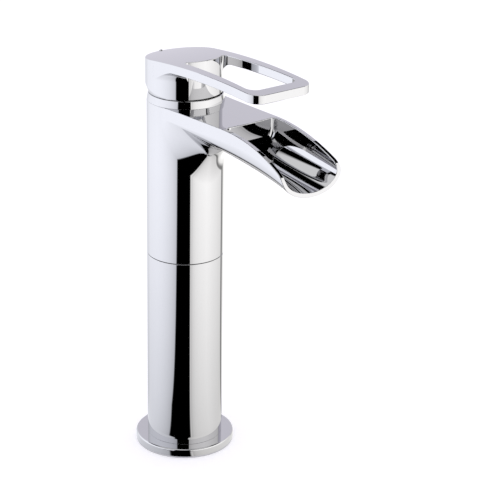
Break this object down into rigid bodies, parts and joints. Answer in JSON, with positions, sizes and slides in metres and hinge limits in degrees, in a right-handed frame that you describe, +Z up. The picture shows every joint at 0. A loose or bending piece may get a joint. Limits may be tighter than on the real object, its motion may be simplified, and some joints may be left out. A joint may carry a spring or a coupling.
{
  "type": "waterfall basin faucet",
  "caption": "Tall single-lever basin mixer tap with a round column, an open half-round waterfall spout and a flat loop lever.",
  "frame": {"origin": "centre of the foot's underside, on the surface the tap stands on", "axes": "+Z up the column, -Y the way the spout and the lever point, +X the cold side"},
  "size_m": [0.0656, 0.1573, 0.2705],
  "materials": {
    "chrome": "bright polished chrome plate on brass",
    "brass": "turned brass",
    "copper": "drawn copper tube",
    "steel": "plain stainless steel",
    "rubber": "black moulded rubber",
    "plastic": "moulded engineering plastic",
    "ceramic": "lapped alumina ceramic"
  },
  "bodies": {
    "root": {"base_flange": "chrome", "base_gasket": "rubber", "inlet_block": "brass", "inlet_block_o_ring": "rubber", "hot_pipe": "copper", "cold_pipe": "copper", "pipe_o_rings": "rubber", "tie_bolts": "steel", "lower_column": "chrome", "seam_gasket": "rubber", "column_joint_ring": "brass", "upper_body": "chrome", "flow_guide": "plastic", "cartridge_base": "plastic", "cartridge_inlet_seals": "rubber", "disc_seals": "rubber", "fixed_disc": "ceramic", "cartridge_housing": "plastic", "cartridge_o_ring": "rubber", "cartridge_nut": "brass", "trim_ring": "chrome"},
    "swivel": {"swivel_turret": "plastic", "turret_o_ring": "rubber", "pivot_pin": "steel"},
    "lever": {"spindle": "steel", "handle": "chrome", "grub_screw": "steel", "grub_screw_cover": "chrome"},
    "disc": {"moving_disc": "ceramic", "disc_driver": "plastic"}
  },
  "joints": [
    {"name": "temperature_swivel", "type": "hinge", "parent": "root", "child": "swivel", "pos_m": [0, 0, 0.2574], "axis": [0, 0, 1], "range_deg": [-45, 45]},
    {"name": "flow_lift", "type": "hinge", "parent": "swivel", "child": "lever", "pos_m": [0, 0, 0.2574], "axis": [-1, 0, 0], "range_deg": [0, 18]},
    {"name": "disc_slide", "type": "slide", "parent": "swivel", "child": "disc", "axis": [0, -1, 0], "range_m": [0, 0.0105]}
  ],
  "couplings": [
    {"joint": "disc_slide", "follows": "flow_lift", "m_per_rad": 0.033228}
  ]
}
